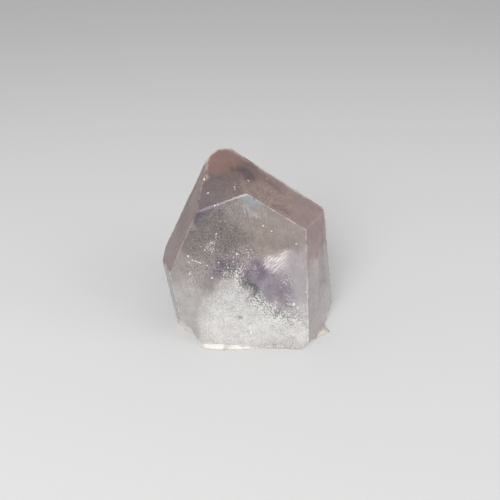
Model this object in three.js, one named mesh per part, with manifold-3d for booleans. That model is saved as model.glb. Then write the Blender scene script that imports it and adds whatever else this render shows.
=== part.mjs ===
// Amethyst point
//
// One quartz crystal, snapped off its rock and cut flat at the foot. It stands on the cut and leans back
// and to the left. It grew as one piece, so it is one solid: six prism walls, six pyramid faces over
// them, a small worn cap on the tip, low growth plates, and the chips and breaks that give it its look.
//
// Units are millimetres and degrees, with +Z up and the widest wall looking along -Y. The origin is on
// the table, under the middle of the crystal's bounding box.

import * as THREE from "three";
import { ConvexGeometry } from "three/addons/geometries/ConvexGeometry.js";
import { mergeVertices } from "three/addons/utils/BufferGeometryUtils.js";
import Module from "manifold-3d";

const wasm = await Module();
wasm.setup();

// Stance: the crystal is turned about its long axis, then leaned over the foot of that axis. All places
// below are measured from the axis foot, which stands here on the table.
const AXIS_TURN = -93.9;
const AXIS_LEAN = 18.9;
const AXIS_LEANS_TOWARDS = 132.9; // degrees from +X, counted anticlockwise from above
const AXIS_FOOT = new THREE.Vector3(-0.05, 0.04, 0);

// Crystal faces. around: degrees round the long axis, from the front towards the right.
// down: how far the face's outward normal is from the long axis. out: distance from the axis foot.
const FACES = {
  front: { around: 3.5, down: 87.5, out: 16.8 },
  right: { around: 60.8, down: 95.9, out: 20.8 },
  backRight: { around: 120, down: 89.9, out: 16.1 },
  back: { around: 181, down: 90, out: 16.3 },
  backLeft: { around: -120.5, down: 89.6, out: 9.2 },
  left: { around: -61.7, down: 84.9, out: 20.4 },
  frontTop: { around: -2.4, down: 52.3, out: 30.9 },
  rightTop: { around: 57.3, down: 49.3, out: 31.85 },
  backRightTop: { around: 121.3, down: 49.2, out: 27 },
  backTop: { around: 180, down: 51.8, out: 19.75 },
  backLeftTop: { around: -119.7, down: 52.7, out: 20.1 },
  leftTop: { around: -60.7, down: 54.5, out: 25.9 },
  cap: { around: 13.5, down: 41, out: 35.1 },
};

// Rubbed edges: width of the flat worn along every edge, and along those of the cap
const EDGE_WEAR = 0.45;
const CAP_WEAR = 1.1;

// Growth plates, each a thin extra layer on one face. Corners are given in the plane of the face, from
// the foot of the axis seen square on: first across it towards the right, then up along the long axis.
const PLATE_THICKNESS = 0.2;
const PLATES = [
  { face: "right", corners: [[-3.6, 3.5], [-0.4, 3.2], [0.4, 15.4], [-2.4, 16.9]] },
  { face: "right", corners: [[2.2, 1.0], [5.0, 1.5], [3.6, 19.5], [2.0, 18.6]] },
  { face: "back", corners: [[-7.5, 0], [-1.5, 0], [-2.2, 7.5], [-6.4, 8.6]] },
  { face: "backRight", corners: [[-12, -3], [6.5, 3], [5, 11], [-3, 20.5], [-11, 20]] },
  { face: "backLeft", corners: [[-11.5, 6.5], [13.5, 4.5], [12.5, 15], [-3, 18]] },
  { face: "backTop", corners: [[-10, 1.5], [-1.5, 1], [1.5, 12], [-4, 26]] },
  { face: "backRightTop", corners: [[-14, 9.5], [-4.5, 9.5], [-8.8, 24]] },
  { face: "backLeftTop", corners: [[-1, 14], [11.5, 14], [7.5, 28]] },
];

// Chips along the edges: the two faces that meet, the faces where the edge starts and ends, how many
// chips there are and the radius of their hollows. Each hollow is centred outside the edge.
const CHIP_STANDOFF = 0.76; // distance of a hollow's centre from the edge, as a share of its radius
const CHIP_STRAY = 0.35; // how far the centre may stray towards either face, as a share of its radius
const CHIP_VARIETY = 0.4; // how far their radii and their places along the edge vary, as shares
const CHIP_DETAIL = 1; // how many times each side of a chip's hollow is split up
const CHIPPED_EDGES = [
  { edge: ["front", "right"], ends: ["rightTop", "foot"], count: 3, radius: 0.8 },
  { edge: ["front", "left"], ends: ["leftTop", "foot"], count: 3, radius: 0.8 },
  { edge: ["left", "backLeft"], ends: ["leftTop", "foot"], count: 3, radius: 1.0 },
  { edge: ["right", "backRight"], ends: ["rightTop", "foot"], count: 3, radius: 1.2 },
  { edge: ["backRight", "back"], ends: ["backTop", "foot"], count: 2, radius: 1.6 },
  { edge: ["back", "backLeft"], ends: ["backTop", "foot"], count: 2, radius: 1.6 },
  { edge: ["backTop", "backRightTop"], ends: ["rightTop", "backRight"], count: 5, radius: 1.7 },
  { edge: ["backTop", "backLeftTop"], ends: ["cap", "backLeft"], count: 5, radius: 1.5 },
  { edge: ["rightTop", "backRightTop"], ends: ["backTop", "backRight"], count: 3, radius: 0.7 },
  { edge: ["leftTop", "backLeftTop"], ends: ["cap", "backLeft"], count: 2, radius: 0.6 },
  { edge: ["frontTop", "leftTop"], ends: ["front", "cap"], count: 2, radius: 0.6 },
];

// Breaks and pits: the middle and half sizes of each rough ball whose hollow the crystal has lost
const BREAKS = [
  { name: "lower left break", at: [-29.4, -28.8, -3.5], half: [22, 22, 22], detail: 12 },
  { name: "lower right chip", at: [16.4, -19.8, -1.5], half: [5, 5, 5], detail: 4 },
  { name: "right edge break", at: [27.0, -9.8, 0.6], half: [8.1, 8.1, 8.1], detail: 6 },
  { name: "back left foot chip", at: [-12.1, 3.4, -0.8], half: [3.4, 3.8, 2.9], detail: 2 },
  { name: "back foot chip", at: [-2.6, 15.6, -1.2], half: [3.8, 3.0, 3.4], detail: 2 },
  { name: "back right foot chip", at: [17.2, 4.2, -1.0], half: [2.8, 4.2, 2.6], detail: 2 },
  { name: "back corner chip", at: [11.9, 17.4, 0.4], half: [4.2, 3.4, 5.4], detail: 2 },
  { name: "front pit", at: [-2.4, -15.6, 7.4], half: [0.8, 0.6, 0.7], detail: 1 },
  { name: "tip pit", at: [-9.1, -3.0, 36.4], half: [0.8, 0.7, 0.7], detail: 1 },
];

// Rough flakes left on the rim of the foot, each given by its corners
const FOOT_FLAKES = [
  {
    name: "spur",
    corners: [
      [14.2, -15.8, -0.2], [16.8, -14.3, -0.2], [19.5, -13.0, -0.2], [19.8, -12.0, -0.2],
      [18.3, -10.7, -0.2], [14.5, -9.0, -0.2], [14.4, -15.4, 0.4], [19.3, -12.6, 0.3], [18.0, -11.4, 0.6],
      [15.0, -10.5, 1.3],
    ],
  },
  {
    name: "left lip",
    corners: [
      [-12.8, -16.0, -0.2], [-11.8, -17.1, -0.2], [-10.6, -18.0, -0.2], [-6.0, -18.5, -0.2],
      [-3.9, -18.4, -0.2], [-12.2, -16.2, 0.3], [-10.5, -17.7, 0.35], [-6.0, -18.2, 0.25],
      [-4.2, -18.1, 0.2], [-11.2, -16.6, 0.7], [-7.3, -17.1, 0.6], [-4.6, -16.8, 0.5],
      [-9.0, -13.0, -0.2], [-4.0, -13.0, -0.2],
    ],
  },
  {
    name: "right lip",
    corners: [
      [-5.4, -18.4, -0.2], [-2.0, -18.3, -0.2], [2.6, -17.9, -0.2], [-5.2, -18.1, 0.2],
      [-2.0, -18.0, 0.25], [2.2, -17.7, 0.1], [-3.8, -16.9, 0.6], [-0.3, -17.0, 0.5], [-4.6, -13.0, -0.2],
      [2.0, -13.0, -0.2],
    ],
  },
];

const ROUGHNESS = 0.09; // how far a broken surface's points stray, as a share of its radius
const SCATTER_CELL = 0.01; // a point's scatter is the same anywhere in a cell of this size
const BLOCK = 90; // edge of the rough block that the crystal is cut from
const GRAIN = 0.01; // corners of the crystal closer together than this are one corner
const SEAM = 1e-4; // and corners of the shapes that it is made from
const UP = new THREE.Vector3(0, 0, 1);
const VIOLET_GREY = 0xa99aa6;

const toRadians = THREE.MathUtils.degToRad;

// Turns the crystal's own directions (long axis along Z, front along X) to where they point on the table
function stance() {
  const heading = toRadians(AXIS_LEANS_TOWARDS);
  const hinge = new THREE.Vector3(-Math.sin(heading), Math.cos(heading), 0);
  const lean = new THREE.Quaternion().setFromAxisAngle(hinge, toRadians(AXIS_LEAN));
  const turn = new THREE.Quaternion().setFromAxisAngle(UP, toRadians(AXIS_TURN));
  return lean.multiply(turn);
}

const STANCE = stance();

// A face as a plane: its outward normal and its distance from the axis foot
function facePlane({ around, down, out }) {
  const normal = new THREE.Vector3()
    .setFromSphericalCoords(1, toRadians(down), toRadians(90 + around))
    .applyQuaternion(new THREE.Quaternion().setFromUnitVectors(new THREE.Vector3(0, 1, 0), UP))
    .applyQuaternion(STANCE);
  return { normal, reach: out };
}

const PLANES = { foot: { normal: UP.clone().negate(), reach: 0 } };
for (const [name, face] of Object.entries(FACES)) {
  PLANES[name] = facePlane(face);
}

// The point where three faces meet
function corner(a, b, c) {
  const [p, q, r] = [a, b, c].map((name) => PLANES[name]);
  const across = new THREE.Vector3().crossVectors(q.normal, r.normal);
  const point = across.clone().multiplyScalar(p.reach);
  point.addScaledVector(new THREE.Vector3().crossVectors(r.normal, p.normal), q.reach);
  point.addScaledVector(new THREE.Vector3().crossVectors(p.normal, q.normal), r.reach);
  return point.divideScalar(p.normal.dot(across));
}

// A closed geometry as a solid
function solidFrom(geometry) {
  const bare = geometry.clone();
  bare.deleteAttribute("normal");
  bare.deleteAttribute("uv");
  const merged = mergeVertices(bare, SEAM);
  return new wasm.Manifold(new wasm.Mesh({
    numProp: 3,
    vertProperties: Float32Array.from(merged.attributes.position.array),
    triVerts: Uint32Array.from(merged.index.array),
  }));
}

// Everything beyond a plane, as a block whose near side lies on the plane
function beyond({ normal, reach }) {
  const block = new THREE.BoxGeometry(BLOCK, BLOCK, BLOCK);
  block.translate(0, 0, BLOCK / 2);
  block.applyQuaternion(new THREE.Quaternion().setFromUnitVectors(UP, normal));
  block.translate(normal.x * reach, normal.y * reach, normal.z * reach);
  return solidFrom(block);
}

// The flat worn along the edge between two faces: a plane square to their bisector, set in from the edge
// so far that the flat is this wide
function wornPlane(a, b, width) {
  const normal = a.normal.clone().add(b.normal);
  const length = normal.length();
  normal.divideScalar(length);
  const halfTurn = a.normal.angleTo(b.normal) / 2;
  return { normal, reach: (a.reach + b.reach) / length - (width / 2) * Math.tan(halfTurn) };
}

// A small even scatter from -1 to 1 that depends only on the place it is asked for
function scatter(x, y, z) {
  const wave = Math.sin(x * 12.9898 + y * 78.233 + z * 37.719) * 43758.5453;
  return 2 * (wave - Math.floor(wave)) - 1;
}

// A rough ball, like the hollow of a shell-shaped break or a lump of rock
function roughBall(at, half, detail) {
  const ball = new THREE.IcosahedronGeometry(1, detail);
  const points = ball.attributes.position;
  const point = new THREE.Vector3();
  const stray = ROUGHNESS / Math.sqrt(detail + 1);
  for (let i = 0; i < points.count; i += 1) {
    point.fromBufferAttribute(points, i);
    const cell = point.clone().divideScalar(SCATTER_CELL).round();
    point.multiplyScalar(1 + stray * scatter(cell.x, cell.y, cell.z));
    points.setXYZ(i, point.x, point.y, point.z);
  }
  ball.scale(...half);
  ball.translate(...at);
  return solidFrom(ball);
}

// The block cut along every face, then rubbed along every edge
function faceted() {
  const block = new THREE.BoxGeometry(BLOCK, BLOCK, BLOCK);
  block.translate(0, 0, BLOCK / 2);
  let crystal = solidFrom(block);
  for (const plane of Object.values(PLANES)) {
    crystal = crystal.subtract(beyond(plane));
  }
  const names = Object.keys(FACES);
  for (const [index, first] of names.entries()) {
    for (const second of names.slice(index + 1)) {
      const width = second === "cap" ? CAP_WEAR : EDGE_WEAR;
      if (PLANES[first].normal.dot(PLANES[second].normal) > 0) {
        crystal = crystal.subtract(beyond(wornPlane(PLANES[first], PLANES[second], width)));
      }
    }
  }
  return crystal;
}

// One growth plate: its outline drawn in the plane of the face and given its thickness
function plate({ face, corners }) {
  const { normal } = PLANES[face];
  const axis = new THREE.Vector3(0, 0, 1).applyQuaternion(STANCE);
  const across = new THREE.Vector3().crossVectors(axis, normal).normalize();
  const up = new THREE.Vector3().crossVectors(normal, across);
  const outline = new THREE.Shape(corners.map(([x, y]) => new THREE.Vector2(x, y)));
  const slab = new THREE.ExtrudeGeometry(outline, { depth: 2 * PLATE_THICKNESS, bevelEnabled: false });
  slab.translate(0, 0, -PLATE_THICKNESS);
  const middle = normal.clone().multiplyScalar(FACES[face].out);
  slab.applyMatrix4(new THREE.Matrix4().makeBasis(across, up, normal).setPosition(middle));
  return solidFrom(slab);
}

// The hollows of the chips along one edge, at places and sizes that vary from one to the next
function chips({ edge, ends, count, radius }) {
  const start = corner(...edge, ends[0]);
  const end = corner(...edge, ends[1]);
  const outward = PLANES[edge[0]].normal.clone().add(PLANES[edge[1]].normal).normalize();
  const sideways = PLANES[edge[0]].normal.clone().sub(PLANES[edge[1]].normal).normalize();
  const hollows = [];
  for (let i = 0; i < count; i += 1) {
    const along = (i + 0.5 + CHIP_VARIETY * scatter(count, i, radius)) / count;
    const size = radius * (1 + CHIP_VARIETY * scatter(i, radius, count));
    const at = start.clone().lerp(end, along).addScaledVector(outward, size * CHIP_STANDOFF);
    at.addScaledVector(sideways, size * CHIP_STRAY * scatter(count, radius, i));
    hollows.push(roughBall(at.toArray(), [size, size, size], CHIP_DETAIL));
  }
  return hollows;
}

function flake({ corners }) {
  return solidFrom(new ConvexGeometry(corners.map((place) => new THREE.Vector3(...place))));
}

function amethystPoint() {
  let crystal = faceted();
  for (const each of PLATES) {
    crystal = crystal.add(plate(each));
  }
  for (const hollow of CHIPPED_EDGES.flatMap(chips)) {
    crystal = crystal.subtract(hollow);
  }
  for (const { at, half, detail } of BREAKS) {
    crystal = crystal.subtract(roughBall(at, half, detail));
  }
  for (const each of FOOT_FLAKES) {
    crystal = crystal.add(flake(each));
  }
  return crystal.subtract(beyond(PLANES.foot));
}

// A solid as a geometry that can be drawn. Corners closer than the grain are joined into one, and the
// slivers that this leaves are dropped: those with two corners alike, and those back to back.
function geometryFrom(solid) {
  const { vertProperties, triVerts } = solid.getMesh();
  const cut = new THREE.BufferGeometry();
  cut.setAttribute("position", new THREE.BufferAttribute(vertProperties, 3));
  cut.setIndex(new THREE.BufferAttribute(triVerts, 1));
  const geometry = mergeVertices(cut, GRAIN);
  const corners = geometry.index.array;
  const kept = new Map();
  for (let i = 0; i < corners.length; i += 3) {
    const triangle = [...corners.slice(i, i + 3)];
    const key = [...triangle].sort((a, b) => a - b).join();
    if (kept.has(key)) {
      kept.delete(key);
    } else if (new Set(triangle).size === 3) {
      kept.set(key, triangle);
    }
  }
  geometry.setIndex([...kept.values()].flat());
  geometry.computeVertexNormals();
  return geometry;
}

const quartz = new THREE.MeshStandardMaterial({
  color: VIOLET_GREY,
  roughness: 0.35,
  metalness: 0,
  flatShading: true,
});

const point = new THREE.Mesh(geometryFrom(amethystPoint()), quartz);
point.name = "amethyst_point";
point.position.copy(AXIS_FOOT);

const group = new THREE.Group();
group.add(point);

export default group;
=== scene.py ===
"""A pale amethyst point standing on a plain floor in soft studio light.

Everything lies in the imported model's own frame, with +Z up. Shapes are worked out in millimetres and
turned into metres as they go into their meshes.
"""

import itertools
import math

import bpy
import numpy as np
from mathutils import Euler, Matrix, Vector


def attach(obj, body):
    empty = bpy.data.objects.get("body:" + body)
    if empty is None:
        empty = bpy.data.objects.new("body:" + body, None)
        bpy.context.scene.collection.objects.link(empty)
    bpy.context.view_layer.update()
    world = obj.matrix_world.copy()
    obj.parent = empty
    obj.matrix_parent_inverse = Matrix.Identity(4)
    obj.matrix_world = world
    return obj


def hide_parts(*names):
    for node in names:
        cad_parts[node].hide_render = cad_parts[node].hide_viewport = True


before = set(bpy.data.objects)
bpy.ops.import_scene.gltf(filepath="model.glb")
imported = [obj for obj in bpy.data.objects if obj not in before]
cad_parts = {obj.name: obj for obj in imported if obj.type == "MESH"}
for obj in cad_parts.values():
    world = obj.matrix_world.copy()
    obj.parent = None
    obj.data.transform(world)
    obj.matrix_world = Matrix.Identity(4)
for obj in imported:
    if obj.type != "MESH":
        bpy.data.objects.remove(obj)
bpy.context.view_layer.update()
MM = 0.001


# The view
# Taken from close by with a short lens, looking down at the crystal's widest wall. Places are measured
# from the foot of the crystal's long axis, and AXIS_FOOT is where that foot stands in the frame.
AXIS_FOOT = np.array([-0.05, 0.04, 0.0])
EYE = AXIS_FOOT + [0.0, -77.0, 75.4]
LOOK_DOWN = 38.0
LENS = 28.8
SENSOR = 36.0

camera_data = bpy.data.cameras.new("camera")
camera_data.lens = LENS
camera_data.sensor_width = SENSOR
camera_data.clip_start = 0.005
camera = bpy.data.objects.new("camera", camera_data)
camera.location = EYE * MM
camera.rotation_euler = Euler((math.radians(90 - LOOK_DOWN), 0, 0))
bpy.context.scene.collection.objects.link(camera)
bpy.context.scene.camera = camera


# The crystal's shape
# One quartz crystal: six prism walls and six pyramid faces, worn along its edges and capped at the tip,
# with chips and breaks, low growth plates, and rough flakes of rock on the rim of its flat foot.
AXIS_TURN = -93.9
AXIS_LEAN = 18.9
AXIS_LEANS_TOWARDS = 132.9

# Each face: degrees round the long axis from the front, degrees that its outward normal is down from
# the long axis, and millimetres out from the axis foot
FACES = {
    "front": (3.5, 87.5, 16.8),
    "right": (60.8, 95.9, 20.8),
    "backRight": (120.0, 89.9, 16.1),
    "back": (181.0, 90.0, 16.3),
    "backLeft": (-120.5, 89.6, 9.2),
    "left": (-61.7, 84.9, 20.4),
    "frontTop": (-2.4, 52.3, 30.9),
    "rightTop": (57.3, 49.3, 31.85),
    "backRightTop": (121.3, 49.2, 27.0),
    "backTop": (180.0, 51.8, 19.75),
    "backLeftTop": (-119.7, 52.7, 20.1),
    "leftTop": (-60.7, 54.5, 25.9),
    "cap": (13.5, 41.0, 35.1),
}
NAMES = [*FACES, "foot"]


def crystal_axes():
    """The crystal's own axes as columns (front, right, up along the axis): a turn about the upright, then
    a lean about a level hinge square to the way it leans, by the rotation formula of Rodrigues."""
    turn, lean, heading = (math.radians(a) for a in (AXIS_TURN, AXIS_LEAN, AXIS_LEANS_TOWARDS))
    about_upright = np.array(
        [[math.cos(turn), -math.sin(turn), 0], [math.sin(turn), math.cos(turn), 0], [0, 0, 1]]
    )
    x, y = -math.sin(heading), math.cos(heading)
    cross = np.array([[0, 0, y], [0, 0, -x], [-y, x, 0]])
    about_hinge = np.eye(3) + math.sin(lean) * cross + (1 - math.cos(lean)) * cross @ cross
    return about_hinge @ about_upright


AXES = crystal_axes()


def face_normals():
    """Outward normal of each face, as rows: a point on the unit sphere at the face's two angles, turned to
    the crystal's stance; the foot looks straight down."""
    around, down, _ = np.radians(np.array(list(FACES.values()))).T
    own = np.stack([np.sin(down) * np.cos(around), np.sin(down) * np.sin(around), np.cos(down)])
    return np.vstack([(AXES @ own).T, [0, 0, -1]])


NORMALS = face_normals()
REACHES = np.array([out for _, _, out in FACES.values()] + [0.0])


def corners_of_solid():
    """Corners of the solid inside all the face planes: every three planes are solved for the point where
    they meet, and the points that lie outside no plane are kept."""
    trios = np.array(list(itertools.combinations(range(len(NORMALS)), 3)))
    trios = trios[abs(np.linalg.det(NORMALS[trios])) > 1e-6]
    points = np.linalg.solve(NORMALS[trios], REACHES[trios][..., None])[..., 0]
    points = points[(points @ NORMALS.T <= REACHES + 1e-6).all(axis=1)]
    return np.unique(points.round(6), axis=0)


CORNERS = corners_of_solid()


def above_faces(points):
    """How far points are above the plane of each face in mm, as columns: negative inside the crystal."""
    return points @ NORMALS.T - REACHES


def corner(*names):
    """The point where three named faces meet, whether or not it is on the solid."""
    rows = [NAMES.index(name) for name in names]
    return np.linalg.solve(NORMALS[rows], REACHES[rows])


def in_face(name, points):
    """Coordinates in the plane of a face, seen square on from outside: across it towards the right, and up
    it, both from the foot of the long axis."""
    normal = NORMALS[NAMES.index(name)]
    across = np.cross(AXES[:, 2], normal)
    across /= np.linalg.norm(across)
    return points @ across, points @ np.cross(normal, across)


# Growth plates, as corners in the plane of their face. They are low, with a short slope all round.
PLATE_THICKNESS = 0.2
PLATE_SLOPE = 0.7
PLATES = [
    ("right", [(-3.6, 3.5), (-0.4, 3.2), (0.4, 15.4), (-2.4, 16.9)]),
    ("right", [(2.2, 1.0), (5.0, 1.5), (3.6, 19.5), (2.0, 18.6)]),
    ("back", [(-7.5, 0), (-1.5, 0), (-2.2, 7.5), (-6.4, 8.6)]),
    ("backRight", [(-12, -3), (6.5, 3), (5, 11), (-3, 20.5), (-11, 20)]),
    ("backLeft", [(-11.5, 6.5), (13.5, 4.5), (12.5, 15), (-3, 18)]),
    ("backTop", [(-10, 1.5), (-1.5, 1), (1.5, 12), (-4, 26)]),
    ("backRightTop", [(-14, 9.5), (-4.5, 9.5), (-8.8, 24)]),
    ("backLeftTop", [(-1, 14), (11.5, 14), (7.5, 28)]),
]

# Chips along an edge: its two faces, the faces where it starts and ends, count and radius. The middle of
# each hollow stands off the edge by one share of its radius, and strays to its sides by up to another.
# The scatter varies its size, and its place along the edge, by up to that share.
CHIP_STANDOFF = 0.76
CHIP_STRAY = 0.35
CHIP_SCATTER = 0.4
CHIPPED_EDGES = [
    (("front", "right"), ("rightTop", "foot"), 3, 0.8),
    (("front", "left"), ("leftTop", "foot"), 3, 0.8),
    (("left", "backLeft"), ("leftTop", "foot"), 3, 1.0),
    (("right", "backRight"), ("rightTop", "foot"), 3, 1.2),
    (("backRight", "back"), ("backTop", "foot"), 2, 1.6),
    (("back", "backLeft"), ("backTop", "foot"), 2, 1.6),
    (("backTop", "backRightTop"), ("rightTop", "backRight"), 5, 1.7),
    (("backTop", "backLeftTop"), ("cap", "backLeft"), 5, 1.5),
    (("rightTop", "backRightTop"), ("backTop", "backRight"), 3, 0.7),
    (("leftTop", "backLeftTop"), ("cap", "backLeft"), 2, 0.6),
    (("frontTop", "leftTop"), ("front", "cap"), 2, 0.6),
]

# Breaks and pits: middle and half sizes of the rough ball that each is the hollow of
BREAKS = [
    ((-29.4, -28.8, -3.5), (22, 22, 22)),
    ((16.4, -19.8, -1.5), (5, 5, 5)),
    ((27.0, -9.8, 0.6), (8.1, 8.1, 8.1)),
    ((-12.1, 3.4, -0.8), (3.4, 3.8, 2.9)),
    ((-2.6, 15.6, -1.2), (3.8, 3.0, 3.4)),
    ((17.2, 4.2, -1.0), (2.8, 4.2, 2.6)),
    ((11.9, 17.4, 0.4), (4.2, 3.4, 5.4)),
    ((-2.4, -15.6, 7.4), (0.8, 0.6, 0.7)),
    ((-9.1, -3.0, 36.4), (0.6, 0.5, 0.5)),
]

# Flakes on the rim of the foot, as the corners of their hulls
FLAKES = [
    [
        (14.2, -15.8, -0.2), (16.8, -14.3, -0.2), (19.5, -13.0, -0.2), (19.8, -12.0, -0.2),
        (18.3, -10.7, -0.2), (14.5, -9.0, -0.2), (14.4, -15.4, 0.4), (19.3, -12.6, 0.3),
        (18.0, -11.4, 0.6), (15.0, -10.5, 1.3),
    ],
    [
        (-12.8, -16.0, -0.2), (-11.8, -17.1, -0.2), (-10.6, -18.0, -0.2), (-6.0, -18.5, -0.2),
        (-3.9, -18.4, -0.2), (-12.2, -16.2, 0.3), (-10.5, -17.7, 0.35), (-6.0, -18.2, 0.25),
        (-4.2, -18.1, 0.2), (-11.2, -16.6, 0.7), (-7.3, -17.1, 0.6), (-4.6, -16.8, 0.5),
        (-9.0, -13.0, -0.2), (-4.0, -13.0, -0.2),
    ],
    [
        (-5.4, -18.4, -0.2), (-2.0, -18.3, -0.2), (2.6, -17.9, -0.2), (-5.2, -18.1, 0.2),
        (-2.0, -18.0, 0.25), (2.2, -17.7, 0.1), (-3.8, -16.9, 0.6), (-0.3, -17.0, 0.5),
        (-4.6, -13.0, -0.2), (2.0, -13.0, -0.2),
    ],
]

# In millimetres: how wide an edge is rounded, and how wide at least where that varies; how wide the cap's
# edges are; how high the walls roll; what is worn off the flakes; how far a hollow's outline strays
EDGE_WEAR = 0.24
LEAST_WEAR = 0.15
CAP_WEAR = 0.7
ROLLING = 0.03
FLAKE_WEAR = 0.03
CHIP_WARP = 0.16


def waves(points, seed, length, count=24):
    """Smooth noise, mostly from -1 to 1: the sum of plane sine waves of about the given length, each in a
    direction of its own, over the root of their count."""
    rng = np.random.default_rng(seed)
    directions = rng.normal(size=(count, 3))
    directions /= np.linalg.norm(directions, axis=1)[:, None]
    numbers = 2 * math.pi / (length * rng.uniform(0.7, 1.4, count))
    phases = rng.uniform(0, 2 * math.pi, count)
    return np.sin(points @ (directions * numbers[:, None]).T + phases).sum(axis=1) / math.sqrt(count)


def scatter(x, y, z):
    """An even scatter from -1 to 1 that depends on its three arguments alone: the fraction of a large
    multiple of a sine."""
    wave = math.sin(x * 12.9898 + y * 78.233 + z * 37.719) * 43758.5453
    return 2 * (wave - math.floor(wave)) - 1


def chip_hollows():
    """Middles and radii of the hollows along the chipped edges: spaced evenly along each edge, with a
    scatter in place, size and stray."""
    middles, radii = [], []
    for (first, second), ends, count, radius in CHIPPED_EDGES:
        start, end = corner(first, second, ends[0]), corner(first, second, ends[1])
        pair = NORMALS[[NAMES.index(first), NAMES.index(second)]]
        outward, sideways = pair.sum(axis=0), pair[0] - pair[1]
        outward /= np.linalg.norm(outward)
        sideways /= np.linalg.norm(sideways)
        for i in range(count):
            along = (i + 0.5 + CHIP_SCATTER * scatter(count, i, radius)) / count
            size = radius * (1 + CHIP_SCATTER * scatter(i, radius, count))
            stray = size * CHIP_STRAY * scatter(count, radius, i)
            on_edge = start + (end - start) * along
            middles.append(on_edge + outward * size * CHIP_STANDOFF + sideways * stray)
            radii.append(size)
    return np.array(middles), np.array(radii)


CHIP_MIDDLES, CHIP_RADII = chip_hollows()


def hull_planes(corners):
    """Outward normals and reaches of the planes round a few points: of the planes through every three of
    them, those that have all the points on one side."""
    points = np.array(corners, float)
    planes = []
    for a, b, c in itertools.permutations(points, 3):
        normal = np.cross(b - a, c - a)
        length = np.linalg.norm(normal)
        if length > 1e-9 and ((points - a) @ normal <= 1e-9).all():
            planes.append([*(normal / length), a @ normal / length])
    planes = np.unique(np.round(planes, 6), axis=0)
    return planes[:, :3], planes[:, 3]


FLAKE_PLANES = [hull_planes(corners) for corners in FLAKES]


def rounded_max(a, b, width):
    """The larger of two fields, with the crease where they cross filled in over a width, as a parabola."""
    near = np.maximum(width - abs(a - b), 0)
    return np.maximum(a, b) + near * near / (4 * width)


def plate_relief(name, points):
    """Height of the growth plates on a face: nothing outside their outline, and rising to the full over a
    short slope inside it. How far a point is outside is the largest of the distances from the sides."""
    relief = np.zeros(len(points))
    across, up = in_face(name, points)
    for face, outline in PLATES:
        if face == name:
            outside = np.full(len(points), -np.inf)
            for (x0, y0), (x1, y1) in zip(outline, outline[1:] + outline[:1]):
                side = math.hypot(x1 - x0, y1 - y0)
                outside = np.maximum(outside, ((across - x0) * (y1 - y0) - (up - y0) * (x1 - x0)) / side)
            relief += PLATE_THICKNESS * np.clip(-outside / PLATE_SLOPE, 0, 1)
    return relief


def worn_walls(points):
    """How far points are outside the faces in mm: the largest of their distances, with rolling waves and
    growth plates added, and with every crease rounded inwards over a width that varies along it."""
    heights = above_faces(points)
    rolling = ROLLING * waves(points, 3, 9.0)
    for i, name in enumerate(NAMES[:-1]):
        heights[:, i] += rolling - plate_relief(name, points)
    cap = heights[:, NAMES.index("cap")].copy()
    heights[:, [NAMES.index("cap"), -1]] = -np.inf
    top = np.sort(heights, axis=1)
    wear = EDGE_WEAR * (1 + 0.3 * waves(points, 4, 3.5))
    return rounded_max(rounded_max(top[:, -1], top[:, -2], np.maximum(wear, LEAST_WEAR)), cap, CAP_WEAR)


def ripple(points):
    """Height in mm of the fine ripple on a broken surface: waves of two lengths."""
    return 0.05 * waves(points, 5, 2.2) + 0.03 * waves(points, 6, 0.9)


def in_hollows(points):
    """How deep points are in a chip or break in mm: the largest depth in any of the hollow balls, the
    stretched ones measured in their own half sizes, once the points are moved by a wave each way, and
    with a ripple added."""
    points = points + CHIP_WARP * np.stack([waves(points, seed, 2.4) for seed in (7, 8, 9)], axis=1)
    depth = np.full(len(points), -np.inf)
    for middle, radius in zip(CHIP_MIDDLES, CHIP_RADII):
        depth = np.maximum(depth, radius - np.linalg.norm(points - middle, axis=1))
    for middle, half in BREAKS:
        depth = np.maximum(depth, (1 - np.linalg.norm((points - middle) / half, axis=1)) * min(half))
    return depth + ripple(points)


def off_flakes(points):
    """How far points are outside the flakes in mm: the least over the flakes of the largest distance from
    their planes, with a little wear and ripple added."""
    away = [(points @ normals.T - reaches).max(axis=1) for normals, reaches in FLAKE_PLANES]
    return np.minimum.reduce(away) + FLAKE_WEAR + 0.15 * ripple(points)


def outside(points):
    """How far points are outside the crystal in mm, negative inside it: the walls less the hollows, joined
    with the flakes, above the level of the foot."""
    solid = np.maximum(worn_walls(points), in_hollows(points))
    return np.maximum(np.minimum(solid, off_flakes(points)), -points[:, 2])


# The surface grid: its step on each face in millimetres, finest where the flecks are, and the power by
# which the rings of a face crowd towards its outline
FINE_STEP = 0.28
STEP = 0.45
COARSE_STEP = 0.8
RING_CROWDING = 1.3
FACE_STEPS = np.array([STEP] * len(NAMES))
for name in ("front", "frontTop", "rightTop", "cap"):
    FACE_STEPS[NAMES.index(name)] = FINE_STEP
for name in ("backRight", "back", "backLeft", "backTop", "backRightTop", "backLeftTop", "foot"):
    FACE_STEPS[NAMES.index(name)] = COARSE_STEP

# The ray that finds each point starts at a heart inside the crystal, the lowest one for the foot, and
# higher by a share of the point's own height. It is searched between two multiples of the way to the
# grid's point, in so many rounds.
LOWEST_HEART = np.array([0.0, -2.0, 5.0])
HEART_RISE = 0.25
NEAR_LIMIT = 0.6
FAR_LIMIT = 1.2
ROUNDS = 14


def on_plane(points):
    """Which faces hold each point: a row of yes or no for each."""
    return abs(above_faces(points)) < 1e-4


def face_outline(index):
    """The corners of a face in order round it: those of the solid's corners that lie in its plane, sorted
    by their angle about their mean."""
    ring = CORNERS[on_plane(CORNERS)[:, index]]
    spokes = ring - ring.mean(axis=0)
    side = spokes[0] / np.linalg.norm(spokes[0])
    angles = np.arctan2(spokes @ np.cross(NORMALS[index], side), spokes @ side)
    return ring[np.argsort(angles)]


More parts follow.
